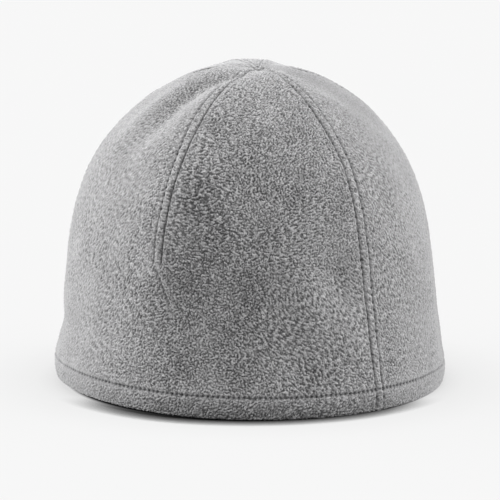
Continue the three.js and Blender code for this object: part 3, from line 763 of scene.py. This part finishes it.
def make_object(name, points_mm, triangles, material, loop_normals=None, loop_uv=None, attributes=()):
    mesh = bpy.data.meshes.new(name)
    mesh.vertices.add(len(points_mm))
    mesh.vertices.foreach_set("co", (np.asarray(points_mm) * MM).astype(np.float32).ravel())
    count = len(triangles)
    mesh.loops.add(count * 3)
    mesh.loops.foreach_set("vertex_index", np.asarray(triangles, np.int32).ravel())
    mesh.polygons.add(count)
    mesh.polygons.foreach_set("loop_start", np.arange(0, count * 3, 3, dtype=np.int32))
    mesh.update(calc_edges=True)
    mesh.polygons.foreach_set("use_smooth", np.ones(count, bool))
    if loop_uv is not None:
        layer = mesh.uv_layers.new(name="OFBake")
        layer.data.foreach_set("uv", loop_uv.astype(np.float32).ravel())
    for key, values in attributes:
        mesh.attributes.new(key, "FLOAT", "POINT").data.foreach_set("value", values.astype(np.float32))
    if loop_normals is not None:
        mesh.normals_split_custom_set(loop_normals.astype(np.float32))
    mesh.materials.append(material)
    made = bpy.data.objects.new(name, mesh)
    bpy.context.scene.collection.objects.link(made)
    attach(made, "root")
    return made


# ---- Materials ---------------------------------------------------------------------------------------------------
def new_material(name):
    material = bpy.data.materials.new(name)
    material.use_nodes = True
    nodes, links = material.node_tree.nodes, material.node_tree.links
    nodes.clear()
    out = nodes.new("ShaderNodeOutputMaterial")
    shader = nodes.new("ShaderNodeBsdfPrincipled")
    links.new(shader.outputs["BSDF"], out.inputs["Surface"])
    return material, nodes, links, shader


def fleece_material(name, dark, light, tuft_share=1.0, sheen=0.35):
    material, nodes, links, shader = new_material(name)
    place = nodes.new("ShaderNodeTexCoord")
    tone = nodes.new("ShaderNodeAttribute")
    tone.attribute_name = "nap"
    shade_in_grooves = nodes.new("ShaderNodeAttribute")
    shade_in_grooves.attribute_name = "shade_in_grooves"
    coarse_and_shade = nodes.new("ShaderNodeAttribute")
    coarse_and_shade.attribute_name = "coarse_and_shade"

    def noise(scale, detail, rough=0.55):
        made = nodes.new("ShaderNodeTexNoise")
        made.inputs["Scale"].default_value = scale
        made.inputs["Detail"].default_value = detail
        made.inputs["Roughness"].default_value = rough
        links.new(place.outputs["Object"], made.inputs["Vector"])
        return made

    def math_node(kind, a, b=None, clamp=False):
        made = nodes.new("ShaderNodeMath")
        made.operation = kind
        made.use_clamp = clamp
        for socket, value in zip(made.inputs, (a, b)):
            if value is None:
                continue
            if isinstance(value, (int, float)):
                socket.default_value = value
            else:
                links.new(value, socket)
        return made.outputs[0]

    fluff = noise(1100.0, 3.0, 0.65)      # the fine lint, under a millimetre
    lint = noise(3400.0, 2.0, 0.6)
    patch = noise(42.0, 2.0)             # slow unevenness of the dye and the brushing
    # the colour's share between dark and light: the nap attribute, which holds the cloth's tone with painted light and
    # shade; the fine lint's light and dark, made stronger where the pile is coarse, partly the lint's own tone and
    # partly painted shade between the fibres; and the slow unevenness of the dye
    share = math_node("MULTIPLY", math_node("SUBTRACT", tone.outputs["Fac"], 0.5), tuft_share)
    curl_and_shade = math_node("MULTIPLY", math_node("SUBTRACT", fluff.outputs["Fac"], 0.5), coarse_and_shade.outputs["Fac"])
    share = math_node("ADD", share, math_node("MULTIPLY", curl_and_shade, 3.0))
    share = math_node("ADD", share, math_node("MULTIPLY", math_node("SUBTRACT", patch.outputs["Fac"], 0.5), 0.15))
    share = math_node("ADD", share, 0.5, clamp=True)
    ramp = nodes.new("ShaderNodeValToRGB")
    ramp.color_ramp.elements[0].position = 0.0
    ramp.color_ramp.elements[0].color = (*dark, 1)
    ramp.color_ramp.elements[1].position = 1.0
    ramp.color_ramp.elements[1].color = (*light, 1)
    links.new(share, ramp.inputs["Fac"])
    # painted shade: the colour is multiplied towards dark grey in the seams' grooves and the hem's row of stitches
    deep = nodes.new("ShaderNodeMix")
    deep.data_type = "RGBA"
    deep.blend_type = "MULTIPLY"
    links.new(math_node("MULTIPLY", shade_in_grooves.outputs["Fac"], 0.92), deep.inputs["Factor"])
    links.new(ramp.outputs["Color"], deep.inputs[6])
    deep.inputs[7].default_value = (0.21, 0.21, 0.215, 1)
    links.new(deep.outputs[2], shader.inputs["Base Color"])
    first = nodes.new("ShaderNodeBump")
    first.inputs["Strength"].default_value = 1.0
    first.inputs["Distance"].default_value = 0.0006
    links.new(curl_and_shade, first.inputs["Height"])
    second = nodes.new("ShaderNodeBump")
    second.inputs["Strength"].default_value = 0.35
    second.inputs["Distance"].default_value = 0.00012
    links.new(lint.outputs["Fac"], second.inputs["Height"])
    links.new(first.outputs["Normal"], second.inputs["Normal"])
    links.new(second.outputs["Normal"], shader.inputs["Normal"])
    shader.inputs["Roughness"].default_value = 0.95
    shader.inputs["Specular IOR Level"].default_value = 0.12
    shader.inputs["Sheen Weight"].default_value = sheen
    shader.inputs["Sheen Roughness"].default_value = 0.45
    shader.inputs["Sheen Tint"].default_value = (0.98, 0.98, 1.0, 1)
    return material


DARK, LIGHT = (0.0853, 0.0848, 0.0858), (0.3755, 0.3742, 0.3768)
FLEECE = fleece_material("fleece", DARK, LIGHT)
WELT_FLEECE = fleece_material("seam_fleece", DARK, LIGHT)
HEM_FLEECE = fleece_material("hem_fleece", DARK, LIGHT)

thread, t_nodes, t_links, t_shader = new_material("thread")
t_place = t_nodes.new("ShaderNodeTexCoord")
t_noise = t_nodes.new("ShaderNodeTexNoise")
t_noise.inputs["Scale"].default_value = 2600.0
t_links.new(t_place.outputs["Object"], t_noise.inputs["Vector"])
t_ramp = t_nodes.new("ShaderNodeValToRGB")
# the thread's grey, darker than the cloth so the stitches read as shaded needle holes: partly its own colour, partly
# painted shade
t_ramp.color_ramp.elements[0].color = (0.110, 0.110, 0.112, 1)
t_ramp.color_ramp.elements[1].color = (0.205, 0.205, 0.208, 1)
t_links.new(t_noise.outputs["Fac"], t_ramp.inputs["Fac"])
t_links.new(t_ramp.outputs["Color"], t_shader.inputs["Base Color"])
t_bump = t_nodes.new("ShaderNodeBump")
t_bump.inputs["Strength"].default_value = 0.5
t_bump.inputs["Distance"].default_value = 0.0001
t_links.new(t_noise.outputs["Fac"], t_bump.inputs["Height"])
t_links.new(t_bump.outputs["Normal"], t_shader.inputs["Normal"])
t_shader.inputs["Roughness"].default_value = 0.6
t_shader.inputs["Sheen Weight"].default_value = 0.2

# ---- The cloth pieces --------------------------------------------------------------------------------------------
STANDS_FOR = {
    "crown_left_front": ("crown_left",), "crown_left_side": ("crown_left",), "crown_left_back": ("crown_left",),
    "crown_right_front": ("crown_right",), "crown_right_side": ("crown_right",), "crown_right_back": ("crown_right",),
    "seam_centre": ("centre_seam_welt",), "seam_dart_front_left": ("dart_welt_front_left",),
    "seam_dart_left": ("dart_welt_left",), "seam_dart_right": ("dart_welt_right",),
    "seam_dart_back_right": ("dart_welt_back_right",), "hem_fleece_band": ("hem_band",),
}


def coarse_of(points):
    """The pile's coarseness at each point of a piece."""
    lean = np.arctan2(points[:, 0], -points[:, 1] / DEPTH_RATIO)
    return coarse_at(np.degrees(lean), np.interp(points[:, 2], wall_z(wall_up), wall_up))


for name in order:
    shell = shells[name]
    kind, tri = shell.kinds, shell.triangles
    p = shell.points
    a, b, c = (p[tri[:, i]] for i in range(3))
    face = np.cross(b - a, c - a)
    face /= np.maximum(np.linalg.norm(face, axis=1, keepdims=True), 1e-12)
    normals = np.repeat(face[:, None, :], 3, axis=1)
    where = tri + offset[name]
    normals[kind == 0] = outer_normals[where[kind == 0]]
    normals[kind == 1] = inner_normals[where[kind == 1]]
    loop_uv = getattr(shell, "loop_uv", None)
    if loop_uv is None:
        loop_uv = shell.uv[tri].copy()
        edge = kind == 2
        n_edge = int(edge.sum())
        strip = loop_uv[edge]
        strip[:, :, 0] = 0.92 + 0.06 * (strip[:, :, 0] % 1.0)
        loop_uv[edge] = strip
    group = "seam_fleece" if name.startswith("seam") else "hem_fleece" if name.startswith("hem") else "fleece"
    material = {"fleece": FLEECE, "seam_fleece": WELT_FLEECE, "hem_fleece": HEM_FLEECE}[group]
    piece = make_object(name, p, tri, material, normals.reshape(-1, 3), loop_uv,
                        (("nap", shell.tone), ("shade_in_grooves", shell.groove_shade), ("coarse_and_shade", coarse_of(p))))
    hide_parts(*STANDS_FOR[name])
    area = float(np.linalg.norm(np.cross(b - a, c - a), axis=1)[kind == 0].sum() / 2)
    print(name, len(tri), "triangles, outer area", round(area), "mm2")

# ---- Thread ------------------------------------------------------------------------------------------------------
def stitches(name, starts, ends, outs, radius=0.24, sink=0.30, proud=0.20):
    """A row of short stitches as one mesh: each arches from one needle hole to the next."""
    sides, rings = 6, 6
    t = np.linspace(0, 1, rings)
    height = -sink + (sink + proud) * np.sin(math.pi * t) ** 0.6
    thick = radius * (0.55 + 0.45 * np.sin(math.pi * np.clip(t, 0.02, 0.98)) ** 0.5)
    starts, ends, outs = (np.asarray(x, float) for x in (starts, ends, outs))
    along = ends - starts
    length = np.linalg.norm(along, axis=1, keepdims=True)
    along = along / np.maximum(length, 1e-9)
    aside = np.cross(along, outs)
    aside /= np.maximum(np.linalg.norm(aside, axis=1, keepdims=True), 1e-9)
    centre = starts[:, None] + (ends - starts)[:, None] * t[None, :, None] + outs[:, None] * height[None, :, None]
    turn = 2 * math.pi * np.arange(sides) / sides
    circle = (aside[:, None, None] * np.cos(turn)[None, None, :, None] + outs[:, None, None] * np.sin(turn)[None, None, :, None])
    points = centre[:, :, None] + circle * thick[None, :, None, None]
    count = len(starts)
    ids = np.arange(count * rings * sides).reshape(count, rings, sides)
    nxt = np.roll(ids, -1, axis=2)
    quads = [(ids[:, i], nxt[:, i], nxt[:, i + 1], ids[:, i + 1]) for i in range(rings - 1)]
    tris = []
    for a, b, c, d in quads:
        tris.append(np.stack([a, b, c], axis=-1).reshape(-1, 3))
        tris.append(np.stack([a, c, d], axis=-1).reshape(-1, 3))
    for k in range(1, sides - 1):
        tris.append(np.stack([ids[:, 0, 0], ids[:, 0, k + 1], ids[:, 0, k]], axis=-1))
        tris.append(np.stack([ids[:, -1, 0], ids[:, -1, k], ids[:, -1, k + 1]], axis=-1))
    tri = np.concatenate(tris)
    flat = points.reshape(-1, 3)
    a, b, c = (flat[tri[:, i]] for i in range(3))
    if (np.cross(b - a, c - a) * (a - np.repeat(centre, sides, axis=1).reshape(-1, 3)[tri[:, 0]])).sum() < 0:
        tri = tri[:, ::-1]
    uv = np.stack(np.broadcast_arrays(
        (np.arange(count)[:, None, None] % 40) / 40 + (np.arange(sides) / sides)[None, None, :] * 0.02,
        (np.arange(count)[:, None, None] // 40) / 40 + t[None, :, None] * 0.02), axis=-1).reshape(-1, 2)
    piece = make_object(name, flat, tri, thread, None, uv[tri])
    return piece


starts, ends, outs = [], [], []


def add_row(points, normals, gap=0.16, drop=0.5):
    a, b = points[:-1], points[1:]
    n = (normals[:-1] + normals[1:]) / 2
    n /= np.linalg.norm(n, axis=1, keepdims=True)
    starts.append(a + (b - a) * gap - n * drop)
    ends.append(b - (b - a) * gap - n * drop)
    outs.append(n)


for index, name in enumerate(ORDER):
    low = SEAMS[name][0] or HEM_TOP + 0.8
    low = low + 1.0
    # the holes lie where the dimples of the sunk row are
    first = math.ceil((low / SEAM_PITCH + 0.37 * index)) - 0.37 * index
    high = WALL_LENGTH - 4.0
    ups = np.arange(first * SEAM_PITCH, high, SEAM_PITCH)
    asides = -CRISP[name] * half_width_of_seam(name, ups)
    az, ring = beside(name, ups, asides)
    _, plain, normal, _, _ = outer(az, ups, ring, np.zeros_like(ups), ups)
    add_row(plain, normal, drop=0.45)
stitches("thread_seams", np.concatenate(starts), np.concatenate(ends), np.concatenate(outs),
                                radius=0.20, sink=0.35, proud=0.05)

starts, ends, outs = [], [], []
count = int(round(2 * math.pi * 94.0 / HEM_PITCH))
hem_az = np.arange(count + 1) * np.degrees(HEM_PITCH / 94.0)
hem_az = hem_az[hem_az < 360.0 - 0.4]
hem_up = np.full_like(hem_az, HEM_TOP)
_, plain, normal, _, _ = outer(hem_az, hem_up, wall_half(hem_up), np.zeros_like(hem_az), hem_up)
add_row(plain, normal, gap=0.18, drop=0.48)
stitches("thread_hem", np.concatenate(starts), np.concatenate(ends), np.concatenate(outs),
                              radius=0.20, sink=0.35, proud=0.05)
starts, ends, outs = [], [], []
level = normal.copy()
level[:, 2] = 0
level /= np.linalg.norm(level, axis=1, keepdims=True)
under = plain - level * HEM_THICK
under[:, 2] = 10.4 + lift_curve(near(hem_az)) * (1 - smooth(10.4 / 60))
add_row(under, -level, gap=0.10, drop=0.30)
stitches("thread_hem_inside", np.concatenate(starts), np.concatenate(ends), np.concatenate(outs),
                                     radius=0.22, sink=0.25, proud=0.12)

LOBE_SPAN = {"crown_left_front": 67.6, "crown_left_side": 63.0, "crown_left_back": 51.5,
             "crown_right_front": 57.2, "crown_right_side": 61.0, "crown_right_back": 59.5}

# ---- The size each crown piece was cut to, worked out and left unused --------------------------------------------
for name in order:
    if not name.startswith("crown"):
        continue
    # a pointed lobe as wide as its share of the round at the hem and as long as the wall, with its curved sides
    curved = rad(LOBE_SPAN[name]) * 1.02 * float(((wall_half(ROWS[1:]) + wall_half(ROWS[:-1])) / 2 * GRID).sum())

# ---- Floor and light ---------------------------------------------------------------------------------------------
floor_mesh = bpy.data.meshes.new("floor")
size, cells = 9.0, 24
grid = np.linspace(-size, size, cells + 1)
gx, gy = np.meshgrid(grid, grid, indexing="ij")
floor_points = np.stack([gx.ravel(), gy.ravel(), np.zeros(gx.size)], axis=1)
cell = np.arange((cells + 1) ** 2).reshape(cells + 1, cells + 1)
floor_mesh.from_pydata(floor_points.tolist(), [],
                       np.stack([cell[:-1, :-1], cell[1:, :-1], cell[1:, 1:], cell[:-1, 1:]], axis=-1).reshape(-1, 4).tolist())
floor = bpy.data.objects.new("floor", floor_mesh)
bpy.context.scene.collection.objects.link(floor)
floor_material, f_nodes, f_links, f_shader = new_material("floor")
f_place = f_nodes.new("ShaderNodeTexCoord")
f_noise = f_nodes.new("ShaderNodeTexNoise")
f_noise.inputs["Scale"].default_value = 3.0
f_links.new(f_place.outputs["Object"], f_noise.inputs["Vector"])
f_ramp = f_nodes.new("ShaderNodeValToRGB")
FLOOR = 0.05
FLOOR_LIGHT = 2.199              # what the lights below give an open floor
FLOOR_BRIGHT = 0.927
f_ramp.color_ramp.elements[0].color = (FLOOR * 0.997, FLOOR * 0.997, FLOOR * 0.997, 1)
f_ramp.color_ramp.elements[1].color = (FLOOR * 1.003, FLOOR * 1.003, FLOOR * 1.003, 1)
f_links.new(f_noise.outputs["Fac"], f_ramp.inputs["Fac"])
f_links.new(f_ramp.outputs["Color"], f_shader.inputs["Base Color"])
f_shader.inputs["Roughness"].default_value = 1.0
# a studio table that glows by itself; its short soft contact shadow is painted shadow, the glow darkened by ambient
# occlusion, more strongly towards the front
f_open = f_nodes.new("ShaderNodeAmbientOcclusion")
f_open.samples = 8
f_open.inputs["Distance"].default_value = 0.011
f_place_parts = f_nodes.new("ShaderNodeSeparateXYZ")
f_links.new(f_place.outputs["Object"], f_place_parts.inputs["Vector"])
f_power = f_nodes.new("ShaderNodeMapRange")
f_power.interpolation_type = "SMOOTHSTEP"
f_links.new(f_place_parts.outputs["Y"], f_power.inputs["Value"])
for socket, value in (("From Min", -0.045), ("From Max", -0.095), ("To Min", 0.1), ("To Max", 4.6)):
    f_power.inputs[socket].default_value = value
f_square = f_nodes.new("ShaderNodeMath")
f_square.operation = "POWER"
f_links.new(f_open.outputs["AO"], f_square.inputs[0])
f_links.new(f_power.outputs["Result"], f_square.inputs[1])
# and painted shadow under the cap: the glow fades out inside an ellipse round the rim
f_inside = f_nodes.new("ShaderNodeVectorMath")
f_inside.operation = "MULTIPLY_ADD"
f_links.new(f_place.outputs["Object"], f_inside.inputs[0])
f_inside.inputs[1].default_value = (1 / 0.0928, 1 / 0.0983, 0)
f_inside.inputs[2].default_value = (-0.0017 / 0.0928, 0, 0)     # the rim is raised on the left, so the painted shadow under it stops short there
f_length = f_nodes.new("ShaderNodeVectorMath")
f_length.operation = "LENGTH"
f_links.new(f_inside.outputs["Vector"], f_length.inputs[0])
f_edge = f_nodes.new("ShaderNodeMapRange")
f_edge.interpolation_type = "SMOOTHSTEP"
f_links.new(f_length.outputs["Value"], f_edge.inputs["Value"])
for socket, value in (("From Min", 0.955), ("From Max", 0.995), ("To Min", 0.0), ("To Max", 1.0)):
    f_edge.inputs[socket].default_value = value
f_shaded = f_nodes.new("ShaderNodeMath")
f_shaded.operation = "MULTIPLY"
# a wider, fainter painted shadow: a second ambient occlusion, softened by a low power
f_wide = f_nodes.new("ShaderNodeAmbientOcclusion")
f_wide.samples = 8
f_wide.inputs["Distance"].default_value = 0.045
f_root = f_nodes.new("ShaderNodeMath")
f_root.operation = "POWER"
f_links.new(f_wide.outputs["AO"], f_root.inputs[0])
f_root.inputs[1].default_value = 0.14
f_both = f_nodes.new("ShaderNodeMath")
f_both.operation = "MULTIPLY"
f_links.new(f_square.outputs[0], f_both.inputs[0])
f_links.new(f_root.outputs[0], f_both.inputs[1])
f_links.new(f_both.outputs[0], f_shaded.inputs[0])
f_links.new(f_edge.outputs["Result"], f_shaded.inputs[1])
f_glow = f_nodes.new("ShaderNodeMath")
f_glow.operation = "MULTIPLY"
f_links.new(f_shaded.outputs[0], f_glow.inputs[0])
f_glow.inputs[1].default_value = FLOOR_BRIGHT - FLOOR * FLOOR_LIGHT
f_shader.inputs["Emission Color"].default_value = (1, 1, 1, 1)
f_links.new(f_glow.outputs[0], f_shader.inputs["Emission Strength"])
f_shader.inputs["Specular IOR Level"].default_value = 0.0
floor_mesh.materials.append(floor_material)

# Large soft lights round the object, as broad patches of a studio's walls and ceiling: azimuth (0 is behind the
# camera), elevation and radiance.
SOFT_LIGHTS = [
    (-120, 12, 2.68), (-135, 45, 1.13), (-150, 12, 0.04), (-90, 12, 3.0), (-90, 45, 2.7), (0, 85, 1.42),
    (120, 12, 0.46), (135, 45, 0.05), (60, 12, 0.18), (90, 12, 2.99), (90, 45, 3.18),
]
SHARPNESS = 8.0
AMBIENT = 0.521
BACKGROUND = 0.93
world = bpy.data.worlds.new("studio")
bpy.context.scene.world = world
world.use_nodes = True
w_nodes, w_links = world.node_tree.nodes, world.node_tree.links
w_nodes.clear()
w_out = w_nodes.new("ShaderNodeOutputWorld")
w_place = w_nodes.new("ShaderNodeTexCoord")
total_light = None
for light_azimuth, light_rise, radiance in SOFT_LIGHTS:
    a, e = rad(light_azimuth), rad(light_rise)
    dot = w_nodes.new("ShaderNodeVectorMath")
    dot.operation = "DOT_PRODUCT"
    w_links.new(w_place.outputs["Generated"], dot.inputs[0])
    dot.inputs[1].default_value = (math.sin(a) * math.cos(e), -math.cos(a) * math.cos(e), math.sin(e))
    keep = w_nodes.new("ShaderNodeMath")
    keep.operation = "MAXIMUM"
    w_links.new(dot.outputs["Value"], keep.inputs[0])
    keep.inputs[1].default_value = 0.0
    power = w_nodes.new("ShaderNodeMath")
    power.operation = "POWER"
    w_links.new(keep.outputs[0], power.inputs[0])
    power.inputs[1].default_value = SHARPNESS
    scale = w_nodes.new("ShaderNodeMath")
    scale.operation = "MULTIPLY_ADD"
    w_links.new(power.outputs[0], scale.inputs[0])
    scale.inputs[1].default_value = radiance
    if total_light is None:
        scale.inputs[2].default_value = AMBIENT
    else:
        w_links.new(total_light, scale.inputs[2])
    total_light = scale.outputs[0]
lit = w_nodes.new("ShaderNodeBackground")
lit.inputs["Color"].default_value = (1, 1, 1, 1)
w_links.new(total_light, lit.inputs["Strength"])
seen = w_nodes.new("ShaderNodeBackground")
seen.inputs["Color"].default_value = (1, 1, 1, 1)
seen.inputs["Strength"].default_value = BACKGROUND
path = w_nodes.new("ShaderNodeLightPath")
mix = w_nodes.new("ShaderNodeMixShader")
w_links.new(path.outputs["Is Camera Ray"], mix.inputs["Fac"])
w_links.new(lit.outputs["Background"], mix.inputs[1])
w_links.new(seen.outputs["Background"], mix.inputs[2])
w_links.new(mix.outputs["Shader"], w_out.inputs["Surface"])

bpy.context.scene.view_settings.view_transform = "Standard"
bpy.context.scene.view_settings.look = "None"
